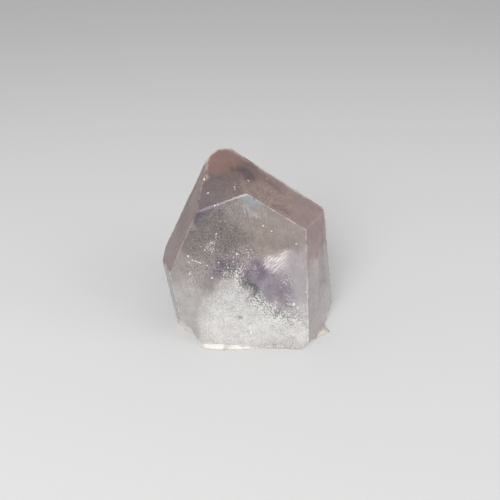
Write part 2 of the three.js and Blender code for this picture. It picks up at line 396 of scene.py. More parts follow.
def face_grid(index):
    """Points, quads and middle triangles of one face: rings from its outline to its middle, crowded
    towards the outline by a power. Each side has an even step, the finer one of its two faces."""
    ring = face_outline(index)
    rim = []
    for start, end in zip(ring, np.roll(ring, -1, axis=0)):
        step = FACE_STEPS[on_plane((start + end) / 2)].min()
        steps = max(2, math.ceil(np.linalg.norm(end - start) / step))
        rim.append(start + (end - start) * np.arange(steps)[:, None] / steps)
    rim = np.vstack(rim)
    middle = ring.mean(axis=0)
    reach = np.linalg.norm(rim - middle, axis=1).max()
    count = max(4, math.ceil(reach / FACE_STEPS[index]))
    inward = (np.arange(count) / count) ** RING_CROWDING
    points = middle + (rim - middle) * (1 - inward)[:, None, None]
    grid = np.arange(count * len(rim)).reshape(count, len(rim))
    after = np.roll(grid, -1, axis=1)
    quads = np.stack([grid[:-1], after[:-1], after[1:], grid[1:]], axis=-1).reshape(-1, 4)
    tip = np.full(len(rim), count * len(rim))
    fan = np.stack([grid[-1], after[-1], tip], axis=-1)
    return np.vstack([points.reshape(-1, 3), middle]), quads, fan


def crystal_surface():
    """The whole surface: the grids of all the faces joined along their edges, then each point moved along
    the ray from its heart to where the field crosses nothing. That is found by false position: a straight
    line between two ends gives the next guess, and the value at the end that stays is halved."""
    points, quads, fans, start = [], [], [], 0
    for index in range(len(NAMES)):
        own, own_quads, own_fan = face_grid(index)
        points.append(own)
        quads.append(own_quads + start)
        fans.append(own_fan + start)
        start += len(own)
    points, quads, fans = np.vstack(points), np.vstack(quads), np.vstack(fans)
    _, first, joined = np.unique(points.round(4), axis=0, return_index=True, return_inverse=True)
    points, quads, fans = points[first], joined.ravel()[quads], joined.ravel()[fans]
    hearts = LOWEST_HEART + HEART_RISE * points * [0, 0, 1]
    rays = points - hearts
    low, high = np.full(len(rays), NEAR_LIMIT), np.full(len(rays), FAR_LIMIT)
    below, above = outside(hearts + rays * low[:, None]), outside(hearts + rays * high[:, None])
    for _ in range(ROUNDS):
        share = np.clip(below / (below - above), 0.02, 0.98)
        middle = low + (high - low) * share
        field = outside(hearts + rays * middle[:, None])
        beyond = field > 0
        below, above = np.where(beyond, below / 2, field), np.where(beyond, field, above / 2)
        low, high = np.where(beyond, low, middle), np.where(beyond, middle, high)
    return hearts + rays * middle[:, None], quads, fans


def mesh_object(name, points_mm, faces):
    """An object at the origin whose mesh has these points, in millimetres from the axis foot."""
    mesh = bpy.data.meshes.new(name)
    mesh.from_pydata((points_mm + AXIS_FOOT) * MM, [], faces)
    mesh.validate()
    made = bpy.data.objects.new(name, mesh)
    bpy.context.scene.collection.objects.link(made)
    return made


surface, quads, fans = crystal_surface()
crystal = mesh_object("amethyst_crystal", surface, [*quads.tolist(), *fans.tolist()])
crystal.data.polygons.foreach_set("use_smooth", np.ones(len(crystal.data.polygons), bool))


# The crystal's colouring
# Milky white at the foot, grey-lilac above it, and salmon pink at the tip, with zones of smoke, violet
# and snow under the faces; the darkest zones at the tip are painted shade, the shadow behind the crystal
# as it shows through the stone. Colours are given as they show on a screen, and each zone is an outline in
# the plane of its face, in millimetres across and up.
def light_of(*screen):
    """The linear light of a colour given as it shows on a screen, from 0 to 255: the sRGB curve."""
    value = np.array(screen) / 255
    return np.where(value <= 0.04045, value / 12.92, ((value + 0.055) / 1.055) ** 2.4)


def smooth(value):
    """0 below 0, 1 above 1, and the cubic with level ends between them."""
    value = np.clip(value, 0, 1)
    return value * value * (3 - 2 * value)


def off_line(line, across, up):
    """How far points are from a line of straight stretches: the least distance to any stretch, each taken
    at the point of it that is nearest."""
    nearest = np.full(across.shape, np.inf)
    for (x0, y0), (x1, y1) in zip(line, line[1:]):
        dx, dy = x1 - x0, y1 - y0
        share = np.clip(((across - x0) * dx + (up - y0) * dy) / (dx * dx + dy * dy), 0, 1)
        nearest = np.minimum(nearest, np.hypot(across - x0 - share * dx, up - y0 - share * dy))
    return nearest


def depth_in(outline, across, up):
    """How far points are inside an outline, negative outside it: the distance to the nearest side, with its
    sign from the count of sides that a line to the right crosses."""
    closed = [*outline, outline[0]]
    inside = np.zeros(across.shape, bool)
    for (x0, y0), (x1, y1) in zip(closed, closed[1:]):
        if y0 != y1:
            inside ^= ((y0 > up) != (y1 > up)) & (across < x0 + (up - y0) * (x1 - x0) / (y1 - y0))
    nearest = off_line(closed, across, up)
    return np.where(inside, nearest, -nearest)


FOOT_WHITE = (206, 202, 199)
PALE_GREY = (172, 166, 166)
MAUVE = (150, 133, 131)
SALMON = (150, 121, 112)
RIM_CREAM = (222, 208, 190)
FLAKE_BROWN = (192, 170, 156)
# The edges' pale line is partly wear and partly painted highlight
WORN_EDGE_AND_HIGHLIGHT = (208, 200, 197)
FRESH_BREAK = (190, 184, 180)

# Colour, the height in millimetres at which it sets in, and the height over which it takes over
HEIGHT_TONES = [(PALE_GREY, 2, 9), (MAUVE, 12, 12), (SALMON, 31, 6)]

# The tone of each face, and how much of it lies over the colour of its height
FACE_TONE_SHARE = 0.85
FACE_TONES = {
    "front": (166, 158, 154),
    "frontTop": (120, 107, 106),
    "rightTop": (160, 138, 134),
    "leftTop": (129, 107, 103),
    "left": (146, 138, 138),
    "right": (193, 183, 183),
    "cap": (128, 109, 105),
    "backRightTop": (146, 126, 124),
    "backTop": (150, 132, 130),
    "backLeftTop": (138, 118, 116),
}

# Zones of tone, one laid over the other: face, outline, softness of its border, colour and strength
TONE_ZONES = [
    ("front", [(3, 17), (18, 12), (17.5, 22), (9, 29), (2, 27)], 3.0, (169, 155, 148), 0.9),
    ("front", [
        (-12, 23), (-5, 30), (6, 31), (5, 21), (-1, 18), (-5, 19), (-9, 21),
    ], 2.5, (130, 121, 118), 0.9),
    ("front", [
        (2.2, 29.6), (5, 30.6), (9.2, 27), (13, 24), (11.2, 22.6), (3.8, 24), (1.6, 26),
    ], 1.4, (164, 155, 150), 0.85),
    # A pale bluish strip along the top edge on the right, under the apex: partly painted highlight
    ("front", [
        (5.4, 30.4), (6.7, 31.4), (10, 28.4), (9.4, 27.8), (7.8, 28.4), (6.4, 28.5), (5.2, 29),
    ], 0.6, (172, 179, 184), 0.85),
    ("front", [(-0.6, 30.8), (-0.4, 28.8), (2.4, 29.2), (3, 31.2)], 0.7, (108, 102, 106), 0.7),
    ("front", [
        (8.8, 27), (11, 25.6), (15.5, 21.5), (15, 19.5), (12, 20), (9, 25),
    ], 1.2, (178, 167, 163), 0.6),
    ("front", [(8, 21), (15.5, 20), (15.5, 18), (8, 18.2)], 1.2, (146, 134, 128), 0.5),
    ("front", [(-16, -3), (-15, 14), (-11, 16), (-7.5, 12), (-7, 2), (-9, -4)], 2.5, (192, 188, 186), 0.95),
    ("front", [(10, 16), (18, 18), (14, -9), (10.5, 2), (11, 10)], 2.0, (188, 181, 184), 0.9),
    ("front", [(-6, 13), (-5, 18), (2, 19.5), (3, 15), (-1, 13)], 1.6, (143, 134, 141), 0.7),
    ("front", [
        (3.4, 16.7), (3, 10), (5, 7), (7.4, 4.6), (9.3, 3.4), (11.6, 4.4), (12, 8), (11.2, 12), (9, 14),
        (7, 17),
    ], 1.8, (161, 151, 163), 0.9),
    ("front", [
        (4.4, 17.2), (6.8, 17), (8, 14.5), (7.4, 12), (5.2, 11.6), (4, 14),
    ], 1.1, (118, 102, 123), 0.85),
    ("front", [(2, 13.6), (2.4, 15.8), (5, 15.6), (5, 13.8)], 0.8, (148, 132, 146), 0.5),
    ("front", [(8.6, 10.5), (11.8, 10), (11.8, 5.4), (9, 3.6), (7.4, 6)], 1.4, (150, 135, 148), 0.7),
    ("front", [(-2.2, 15.4), (-1.9, 17.8), (0.2, 18), (1.2, 16.6), (0.4, 15)], 1.0, (100, 94, 104), 0.7),
    ("front", [(1, 17.4), (1.4, 20), (6, 19.6), (6.4, 17.4)], 1.0, (128, 118, 116), 0.5),
    ("front", [
        (-4.2, 22.8), (-2.2, 23.2), (-1, 21.6), (-2.2, 20), (-3.8, 20.2),
    ], 0.9, (152, 144, 140), 0.7),
    ("front", [(2.2, 13.4), (3.8, 13.2), (4.8, 10.4), (4.4, 8), (2.6, 9.4)], 0.9, (108, 103, 115), 0.8),
    ("front", [
        (-10.5, -3), (-9.3, 4.5), (-7.9, 7), (-6.3, 9), (-4.3, 11), (-1.7, 12), (0.4, 13.2), (1.4, 12),
        (1.8, 10), (3, 8.4), (4.8, 6.8), (6.6, 5.2), (7.6, 3.2), (9.4, 1.2), (12.4, 1.5), (13.6, 1.9),
        (14.5, -3), (12, -9), (-3, -6),
    ], 2.4, (186, 184, 184), 1.0),
    ("front", [
        (-11.5, -3), (-10, 4.6), (-6, 7), (0, 5.4), (3.4, 2.8), (6, 0), (10, -2), (13, -1.2),
        (14.5, -3), (12, -9), (-3, -6),
    ], 2.6, (210, 207, 205), 1.0),
    # A darker strip along the foot of the front wall: painted shade where it meets the floor
    ("front", [(-2, -3.6), (9, -4.2), (11.6, -5.6), (12, -9), (-3, -8)], 1.2, (170, 164, 161), 0.8),
    ("front", [(9.6, -2.6), (13, -2.2), (13.4, -4.6), (10.6, -4.6)], 0.8, (224, 221, 219), 0.8),
    ("front", [(0.3, 1.0), (0.6, 0.8), (0.5, -2.0), (0.2, -1.8)], 0.3, (130, 126, 122), 0.5),
    ("front", [
        (-5, 27), (-4.6, 29.6), (-2.6, 30.8), (-0.4, 30.4), (-0.6, 29.2), (-2, 28.4), (-3.6, 27.2),
    ], 0.8, (78, 72, 80), 1.0),
    ("tip", [
        (-4, 16.4), (-4, 22), (3, 24), (7.4, 19), (5, 17.2), (3.2, 15.8), (1.9, 14.9), (0.5, 15),
        (-1, 15.5), (-2.5, 16),
    ], 0.8, (150, 119, 110), 0.95),
    ("tip", [
        (-6, 6), (-5, 14.8), (-2, 15.4), (1, 14.8), (3, 12.5), (3.2, 10), (1, 8),
    ], 1.2, (126, 113, 112), 0.8),
    ("tip", [(-6, 6.5), (-5.5, 11), (-2, 10), (-1, 8)], 1.2, (122, 110, 119), 0.7),
    ("tip", [(-0.6, 8.4), (-0.6, 9.6), (2, 11), (3.6, 10.6), (3, 8.8)], 0.8, (146, 125, 121), 0.7),
    ("tip", [
        (-2, 14.9), (0.5, 14.9), (3, 15.2), (3.4, 13), (0, 13.4), (-2, 13.6),
    ], 0.8, (113, 99, 98), 0.7),
    # These dark zones and the next ones are painted shade: the shadow behind the crystal seen through the
    # tip
    ("tip", [
        (2.4, 16.2), (3.6, 16.4), (5.4, 17.2), (8, 16.8), (9, 14.6), (7.6, 12.4), (5, 11.6), (3, 12.6),
    ], 1.2, (114, 97, 94), 0.8),
    ("tip", [(2.6, 16), (3.8, 15.6), (3.4, 14.6), (2.6, 14.8)], 0.5, (98, 80, 78), 0.7),
    ("tip", [(4.8, 16.4), (6.4, 17), (7.8, 16.2), (6.6, 15.6)], 0.5, (116, 88, 80), 0.5),
    ("tip", [(3.6, 14.6), (5.6, 15.2), (7.6, 14.6), (7, 12.6), (4.8, 12.6)], 1.0, (94, 79, 82), 0.75),
    ("tip", [(-5.6, 8.2), (-5.4, 9.4), (-2.4, 8.8), (-1.4, 7.8), (-2.6, 7.2)], 0.6, (98, 90, 101), 0.7),
    ("tip", [(7.6, 15), (10, 13), (12.8, 11), (12, 9.6), (8, 12)], 1.2, (122, 103, 98), 0.8),
    ("tip", [(1.2, 9.4), (1.6, 12.2), (4.6, 12), (7, 9), (4, 8.4)], 1.2, (128, 112, 109), 0.6),
    ("tip", [
        (3.4, 10.8), (6.4, 10.4), (9.4, 8), (9, 6.6), (6.6, 7.2), (3.6, 8.6),
    ], 1.0, (153, 135, 127), 0.85),
    ("tip", [(8.2, 5.8), (9.2, 6.2), (12.4, 4.8), (12.4, 3.6), (10, 4.6)], 0.5, (112, 93, 98), 0.45),
    ("leftTop", [(7, 18), (9.6, 18), (9.4, 28), (7.5, 28)], 1.5, (150, 133, 126), 0.6),
    ("leftTop", [(0, 17), (0, 24), (3, 26), (6, 23), (6, 18)], 1.5, (112, 95, 93), 0.6),
    ("leftTop", [(4, 12), (4, 18), (9, 18), (9, 12)], 1.5, (118, 101, 97), 0.6),
    ("right", [(-4, 5), (-4, 16.5), (0.2, 15), (0.2, 5)], 0.5, (198, 190, 190), 0.6),
    ("right", [(0.6, 7), (0.5, 18), (3.5, 19), (3.8, 7)], 1.0, (170, 157, 158), 0.6),
    ("right", [(-5, 15.5), (-5, 26), (5, 26), (5, 16.5)], 2.0, (164, 139, 137), 0.9),
    ("backRight", [(-14, 0), (-13, 12), (-4, 15), (2, 8), (5, -2)], 3.0, (190, 182, 180), 0.7),
    ("backRight", [(-4, 14), (-1, 20), (6, 14), (4, 9)], 2.0, (134, 118, 124), 0.6),
    ("back", [(-9, 2), (-8, 8), (-3, 9), (0, 4)], 2.0, (186, 176, 168), 0.7),
    ("backLeft", [(-12, 4), (-8, 14), (4, 16), (6, 4)], 3.0, (150, 138, 148), 0.7),
    ("backLeft", [(4, 2), (6, 12), (16, 10), (18, 0)], 3.0, (188, 182, 180), 0.7),
    ("backTop", [(-9, 3), (-6, 14), (0, 12), (2, 3)], 2.5, (134, 118, 120), 0.6),
    ("backLeftTop", [(0, 12), (2, 20), (10, 20), (10, 10)], 2.5, (152, 134, 132), 0.6),
]

# Zones of fine detail: face, outline, softness of its border, and strength, which is below nothing
# where the detail is taken away
DETAIL_ZONES = {
    # White flecks, thick at the foot and thinning upwards
    "snow": [
        ("front", [
            (-10.5, -3), (-9.3, 4.5), (-7.9, 7), (-6.3, 9.4), (-4.3, 11), (-2.8, 12.2), (-1.3, 14.1),
            (0.2, 14.9), (1.2, 15.4), (2.0, 15), (1.9, 14), (1.9, 12.8), (2.3, 11.4), (2.8, 9.6),
            (4.4, 8.4), (6.2, 6.6), (6.9, 5.2), (7.4, 3.8), (9.2, 1.8), (10.8, 1.0), (12.6, 1.9),
            (13.9, 2.4), (14.5, -3), (12, -9), (-3, -6),
        ], 2.6, 1.0),
        ("front", [
            (-3, 14), (-2.7, 17.5), (0.5, 19.5), (4.5, 19), (6.5, 17.4), (4, 15.5), (2.8, 14),
        ], 1.2, 0.12),
        ("front", [(2, 10.4), (3.7, 9.8), (3.5, 7.6), (2, 7.6)], 0.8, -0.5),
        ("front", [(5.6, 6.6), (7.4, 6), (7.6, 4.2), (5.8, 4.4)], 0.8, 0.4),
        ("front", [(9, 5), (12, 9), (13.5, 3), (10, 0)], 2.0, 0.35),
        ("right", [(-6, -6), (-4, 5), (5, 6), (6, -5)], 2.0, 0.15),
        ("backRight", [(-15, -6), (-14, 6), (0, 8), (8, 0), (8, -4)], 3.0, 0.6),
        ("backLeft", [(-14, 2), (-10, 9), (6, 6), (18, 0)], 3.0, 0.5),
    ],
    # Dark grains, thickest between the snow and the violet
    "pepper": [
        ("front", [
            (-3.8, 15.6), (-2.6, 18.2), (0.6, 18.2), (3, 16.4), (2.6, 12.4), (0.8, 12.2), (-0.8, 13.2),
            (-3.2, 14),
        ], 1.0, 1.0),
        ("front", [
            (2.2, 14.8), (3.8, 14), (4.8, 12), (4.7, 9.6), (5.6, 7.2), (7.4, 5), (7.4, 2.6), (5.2, 3.2),
            (3, 6.4), (1.6, 9.4), (1.3, 12.4),
        ], 1.0, 1.0),
        ("front", [(3.6, 5.5), (7, 4.4), (9.6, 3), (9.4, 0.4), (6.8, -0.4), (4.6, 0.2)], 1.2, 0.5),
        ("front", [(7.5, 4.4), (10, 3.6), (13.4, 2.6), (13, -1), (9, -2)], 1.8, 0.45),
        ("front", [(-10, 20), (-5, 29.5), (4, 29), (4, 20), (-2, 17.5)], 2.4, 0.42),
        ("front", [(-3, 20), (-3, 26), (2, 26), (3, 20), (0, 18)], 1.5, 0.3),
        ("front", [(-5, 30), (-5, 27.2), (-1.6, 27.8), (0, 29), (-1, 30.4)], 0.8, 0.6),
        ("tip", [(2.4, 16.4), (5.4, 17.4), (9, 15), (7.6, 11.8), (4, 11.4)], 1.4, 0.45),
        ("tip", [(-5, 9), (-4.5, 14.5), (2, 15.4), (3.4, 10.5)], 1.2, 0.25),
    ],
    # A veil of fine strokes that rise to the right
    "feather": [
        ("front", [
            (6.4, 15), (7.8, 16.3), (10.2, 17.2), (12.0, 17.6), (13.4, 17), (12.2, 15.4), (11, 13.9),
            (8.8, 13), (6.8, 13.6),
        ], 1.4, 0.9),
        ("front", [(9.2, 13.6), (12, 14), (12.2, 11.8), (10, 11.8)], 1.6, 0.35),
        ("right", [(-1, -4), (0, 4), (5, 5), (6, -4)], 1.0, 0.2),
    ],
    # A duller place at the left end of the top edge
    "dull": [
        ("front", [(-6, 26), (-5, 32), (2.4, 32.8), (2.8, 29.6), (-2, 28)], 0.7, 1.0),
    ],
    # Short pale strands that run along the crystal, under the top edge
    "fringe": [
        ("front", [(4.6, 29.4), (8.6, 28.2), (10.2, 26.6), (9.4, 25.4), (6, 25.8), (4.2, 27)], 0.9, 1.0),
    ],
    # Light and dark grain
    "grit": [
        ("front", [
            (-11, 12), (-9, 21), (-5, 30), (3, 31), (5.6, 28), (5.6, 23), (4, 18), (-2, 15), (-7, 12),
        ], 2.0, 1.0),
        ("front", [
            (-3, 14), (-2.7, 17.5), (0.5, 20.5), (4.5, 20), (8, 18), (5, 15.5), (2.8, 14),
        ], 1.2, 0.9),
        ("front", [(5, 30), (14, 23), (16, 14), (7, 17), (5, 20)], 1.5, 0.35),
        ("front", [(3, 16.5), (9, 15), (12, 9), (12, 4), (8, 5), (4, 10)], 1.5, 0.6),
        ("tip", [
            (-7, 7), (-5, 14.5), (2, 15.6), (4, 17.4), (9, 15.4), (14, 9), (12, 3), (2, 9),
        ], 1.2, 0.45),
        ("tip", [(2, 9), (2.4, 13), (5, 13), (10, 9.4), (8, 7), (4, 8)], 1.2, 0.3),
        ("tip", [(6, 8), (10, 12), (14, 8), (14, 2), (9, 4)], 1.2, 0.8),
    ],
    # Sparks, far apart
    "glint": [
        ("front", [(-4.2, 20.8), (-3.6, 22.9), (-1.5, 22.7), (-0.9, 21.2), (-2, 19.4)], 0.7, 0.75),
        ("front", [
            (-1.4, 17.8), (1.2, 20.2), (4.4, 20), (6.4, 18.6), (5.4, 17), (2.4, 17.4), (0, 17),
        ], 0.9, 0.5),
        ("front", [(-10, 14), (-10, 22), (-4, 29), (3, 30), (3, 22), (-2, 17), (-6, 13)], 2.0, 0.08),
        ("front", [(-3.4, 12.4), (-1.6, 16.4), (1.6, 17.4), (3, 14), (2, 11)], 1.0, 0.28),
        ("front", [(9.8, 9), (10.4, 12), (12.4, 12), (12.4, 9)], 0.8, 0.7),
        ("front", [(3, 16), (5.4, 16), (6, 13.6), (4, 13)], 0.8, 0.4),
        ("front", [(6.8, 14), (7.6, 16), (9.6, 16.6), (9.6, 13.8), (8.2, 13)], 0.8, 0.5),
    ],
}

# Edges with a fine pale line, partly wear and partly painted highlight where an edge catches the light:
# their two faces, how strong the line is and how wide
LIT_AND_WORN_EDGE_LINES = [
    ("front", "rightTop", 0.9, 0.18),
    ("front", "right", 0.15, 0.3),
    ("front", "left", 0.35, 0.3),
    ("front", "leftTop", 0.18, 0.35),
    ("leftTop", "frontTop", 0.2, 0.35),
    ("leftTop", "backLeftTop", 0.75, 0.8),
    ("rightTop", "backRightTop", 0.75, 0.8),
    ("cap", "backTop", 0.7, 1.0),
    ("cap", "backLeftTop", 0.7, 1.0),
    ("cap", "leftTop", 0.4, 0.9),
    ("right", "backRight", 0.45, 0.5),
    ("left", "backLeft", 0.4, 0.4),
    ("left", "leftTop", 0.3, 0.4),
    ("back", "backTop", 0.4, 0.5),
    ("backLeft", "backLeftTop", 0.4, 0.5),
    ("backRight", "backRightTop", 0.4, 0.5),
    ("backRight", "back", 0.4, 0.5),
    ("back", "backLeft", 0.4, 0.5),
]

# Bright specks just under a face, some of them painted glints, as at the chipped top edge and low on
# the right, each with its place and radius
SPECKS_AND_GLINTS = {
    "front": [
        (-4.4, 21.0, 0.2), (-5.0, 22.0, 0.12), (-8.2, 20.4, 0.22), (-7.5, 19.2, 0.18), (-8.4, 19.0, 0.18),
        (-9.0, 16.3, 0.22), (-2.2, 17.6, 0.2), (-4.5, 14.3, 0.2), (-4.8, 17.4, 0.18), (-1.0, 24.0, 0.2),
        (0.4, 26.5, 0.14), (2.1, 18.7, 0.25), (-0.1, 25.5, 0.12), (-0.4, 24.9, 0.14), (1.4, 24.2, 0.12),
        (-0.6, 26.9, 0.12), (8.8, 23.8, 0.2), (9.4, 23.5, 0.15), (10.3, 22.3, 0.25), (14.8, 18.5, 0.2),
        (13.4, 18.6, 0.15), (11.8, 4.4, 0.35), (12.3, 3.4, 0.25), (-13.2, 3.0, 0.2), (-10.6, -0.6, 0.15),
        (-5.6, 5.8, 0.15), (-0.4, 30.3, 0.25), (0.2, 29.9, 0.2), (-2.6, 1.2, 0.2), (-1.9, 1.7, 0.15),
    ],
    "tip": [
        (-3.2, 11.7, 0.2), (2.4, 10.9, 0.2), (2.1, 10.2, 0.15), (-3.15, 14.85, 0.2), (9.6, 13.0, 0.15),
        (-2.4, 8.6, 0.2), (-1.8, 8.5, 0.15), (5.4, 11.8, 0.15),
    ],
}

# Fine cracks and bright strokes, some of them painted glints, as the two crescents by the pit at the tip
# and the short dashes on the right, each with its strength and its line of points
STROKE_WIDTH = 0.14
CRACKS_AND_GLINT_STROKES = {
    "front": [
        (0.8, [(-7.5, 19.2), (-6.7, 18.8), (-6.0, 18.3)]),
        (0.7, [(-1.1, 2.3), (-0.1, 1.6), (0.9, 0.9)]),
        (0.85, [(0.9, 0.9), (0.8, -0.3), (0.8, -1.3), (0.9, -2.1)]),
        (0.62, [(5.6, 12.5), (7.0, 12.2)]),
        (0.62, [(11.2, 11.3), (11.4, 10.2)]),
        (0.6, [(11.9, 10.2), (12.1, 9.4)]),
    ],
    "tip": [
        (0.7, [(2.6, 11.4), (2.3, 10.2)]),
        # Two crescents by the pit: painted glints
        (0.65, [(-2.75, 15.7), (-3.05, 15.2)]),
        (0.65, [(-3.05, 15.2), (-3.4, 14.7)]),
    ],
}

# Stains on top of all else: face, middle, half sizes, colour
STAINS = [
    ("front", (-1.0, 3.7), (0.7, 0.4), (160, 154, 142)),
    ("tip", (-2.6, 15.0), (0.22, 0.4), (98, 80, 68)),
    ("front", (-9, -1.6), (0.7, 0.4), (196, 176, 156)),
]

# How strongly the fine growth steps show on the walls
STEPPED_WALLS = {"front": 0.2, "right": 0.3, "left": 0.5, "backRight": 1.0, "back": 1.0, "backLeft": 1.0}

# How thick the snow is round the foot at the back, and how far off a face's plane its zones end
BACK_SNOW = 0.55
FACE_FADE = 0.35


def share_of_face(face, heights):
    """How far points belong to a face: 1 on its plane, fading to 0 just off it. The tip is the cap and the
    two faces in front of it together."""
    members = ("cap", "frontTop", "rightTop") if face == "tip" else (face,)
    return smooth(1 + heights[:, [NAMES.index(name) for name in members]].max(axis=1) / FACE_FADE)


def in_zone_plane(face, points):
    """Coordinates in the plane that a face's zones are drawn in, which for the tip is the cap's."""
    return in_face("cap" if face == "tip" else face, points)


def zone_share(zone, points, heights, sway):
    """How much of a zone is at points: full inside its outline, nothing outside it, with a soft border
    that sways both ways, and only on the zone's own face."""
    face, outline, soft, strength = zone
    across, up = in_zone_plane(face, points)
    depth = depth_in(outline, across + sway[0], up + sway[1])
    return strength * share_of_face(face, heights) * smooth(0.5 + depth / (2 * soft))


def laid_over(colour, screen, share):
    """A colour laid over others by a share at each point."""
    return colour + (light_of(*screen) - colour) * share[:, None]


def body_colour(points, heights, rise, sway):
    """The colour inside the stone: height sets it first, from the foot's white to salmon, with a mottle of
    two waves; then come each face's own tone and its zones."""
    colour = light_of(*FOOT_WHITE) + 0 * points
    for tone, start, length in HEIGHT_TONES:
        colour = laid_over(colour, tone, smooth((rise - start) / length))
    colour *= (1 + 0.07 * waves(points, 22, 5.0) + 0.04 * waves(points, 23, 1.6))[:, None]
    for name, tone in FACE_TONES.items():
        colour = laid_over(colour, tone, share_of_face(name, heights) * FACE_TONE_SHARE)
    for face, outline, soft, tone, strength in TONE_ZONES:
        share = zone_share((face, outline, soft, strength), points, heights, sway)
        colour = laid_over(colour, tone, share)
    return colour


def with_worn_and_lit_edges(colour, points, heights):
    """The colour with the edges' pale lines laid over it, partly wear and partly painted highlight, and how
    worn the points are. A line is full where both its faces meet, falls to nothing over its width, and
    comes and goes along the edge."""
    patchy = np.clip(0.7 + 0.4 * waves(points, 30, 3.0), 0, 1)
    worn = np.zeros(len(points))
    for first, second, strength, width in LIT_AND_WORN_EDGE_LINES:
        pair = heights[:, [NAMES.index(first), NAMES.index(second)]]
        line = strength * smooth(1 + pair.min(axis=1) / width) * patchy
        colour = laid_over(colour, WORN_EDGE_AND_HIGHLIGHT, line)
        worn = np.maximum(worn, line / strength * 0.8)
    return colour, worn


def with_breaks(colour, points):
    """The colour with the pale, patchy skin of chips and breaks laid over it, and how broken points are:
    by their depth in a hollow."""
    broken = 0.6 * smooth(1 + in_hollows(points) / 0.1)
    patchy = np.clip(0.1 + 0.15 * waves(points, 31, 1.2), 0, 1)
    return laid_over(colour, FRESH_BREAK, patchy * broken), broken


def with_rim(colour, points, heights):
    """The colour with the brown flakes and cream rim of the foot laid over it, and how much of the rim is
    at points. A flake is what stands out of the walls and hollows. The rim is the lowest half millimetre
    or so, with a wavy border, fainter in front."""
    flake = smooth(np.maximum(worn_walls(points), in_hollows(points)) / 0.12)
    low = smooth(1.2 - points[:, 2] / 0.6 + 0.6 * waves(points, 29, 1.8))
    rim = np.maximum(low * (1 - 0.7 * share_of_face("front", heights)), flake)
    colour = laid_over(colour, FLAKE_BROWN, 0.85 * flake)
    pale_rim = 0.6 * (rim - flake) + 0.9 * flake * smooth(1.6 - points[:, 2] / 0.3)
    return laid_over(colour, RIM_CREAM, pale_rim), rim


def with_stains(colour, points, heights, sway):
    """The colour with the stains laid over it, each a soft ellipse in the plane of its face."""
    for face, (x, y), (half_x, half_y), stain in STAINS:
        across, up = in_zone_plane(face, points)
        off = np.hypot((across + 0.4 * sway[0] - x) / half_x, (up + 0.4 * sway[1] - y) / half_y)
        colour = laid_over(colour, stain, 0.85 * share_of_face(face, heights) * smooth(1.5 - off))
    return colour


def bright_marks(points, heights):
    """How near points are to a speck or a stroke: its strength at its middle, falling evenly to nothing
    some way outside it, with a slight tremble of its border."""
    mark = np.zeros(len(points))
    for face, spots in SPECKS_AND_GLINTS.items():
        across, up = in_zone_plane(face, points)
        across, up = across + 0.1 * waves(points, 32, 0.7), up + 0.1 * waves(points, 33, 0.7)
        share = share_of_face(face, heights)
        for x, y, radius in spots:
            mark = np.maximum(mark, share * (1 - np.hypot(across - x, up - y) / (2.5 * radius)))
        for strength, line in CRACKS_AND_GLINT_STROKES[face]:
            near = strength * (1 - off_line(line, across, up) / (3 * STROKE_WIDTH))
            mark = np.maximum(mark, share * near)
    return mark


def back_snow(heights, rise):
    """Snow round the foot of the sides that the four front faces don't reach, thinning upwards."""
    shown = [share_of_face(name, heights) for name in ("front", "frontTop", "rightTop", "right")]
    return BACK_SNOW * (1 - np.maximum.reduce(shown)) * smooth((9 - rise) / 8)


def crystal_layers(points):
    """What the material reads at points of the surface: the colour as tint, and the amount of each fine
    detail, of marks, of broken or worn skin and of stepped walls. Waves move heights and borders."""
    heights = above_faces(points)
    rise = points[:, 2] + 1.6 * waves(points, 20, 9.0) + 0.5 * waves(points, 21, 2.5)
    sway = [0.5 * waves(points, seed, 3.5) + 0.2 * waves(points, seed + 1, 1.1) for seed in (25, 27)]
    colour = body_colour(points, heights, rise, sway)
    colour, worn = with_worn_and_lit_edges(colour, points, heights)
    colour, broken = with_breaks(colour, points)
    colour, rim = with_rim(colour, points, heights)
    layers = {"tint": with_stains(colour, points, heights, sway), "speck_and_glint": bright_marks(points, heights)}
    for name, zones in DETAIL_ZONES.items():
        layers[name] = sum(zone_share(zone, points, heights, sway) for zone in zones)
    layers["snow"] += back_snow(heights, rise)
    for name in DETAIL_ZONES:
        layers[name] = np.clip(layers[name], 0, 1)
    layers["broken"] = np.maximum.reduce([broken, rim, worn, layers.pop("dull")])
    layers["walls"] = sum(weight * share_of_face(name, heights) for name, weight in STEPPED_WALLS.items())
    return layers


for name, values in crystal_layers(surface).items():
    if values.ndim == 2:
        layer = crystal.data.attributes.new(name, "FLOAT_COLOR", "POINT")
        layer.data.foreach_set("color", np.hstack([values, np.ones((len(values), 1))]).ravel())
    else:
        layer = crystal.data.attributes.new(name, "FLOAT", "POINT")
        layer.data.foreach_set("value", values)


# The crystal's material
# Quartz: see-through where it is clear, and milky and less clear where it is full of fine flecks, veiled
# or broken. It absorbs green light most, so what has gone through it is faintly violet.
PEPPER_DARK = (88, 84, 92)
SNOW_WHITE = (231, 229, 226)
VEIL_WHITE = (212, 208, 206)
STROKE_WHITE = (234, 231, 228)
STRAND_PALE = (214, 208, 205)
GLINT_WHITE = (228, 224, 222)
# The specks' white, partly painted glint
SPECK_AND_GLINT_WHITE = (252, 249, 246)
QUARTZ_IOR = 1.544
CLEAR_TRANSMISSION = 0.4
CLOUDY_TRANSMISSION = 0.12
TRANSMITTED_TINT = (0.8, 0.7, 0.86, 1)
ABSORPTION_PER_METRE = 12.0

crystal_material = bpy.data.materials.new("amethyst")
crystal_material.use_nodes = True
tree = crystal_material.node_tree
shader = tree.nodes["Principled BSDF"]


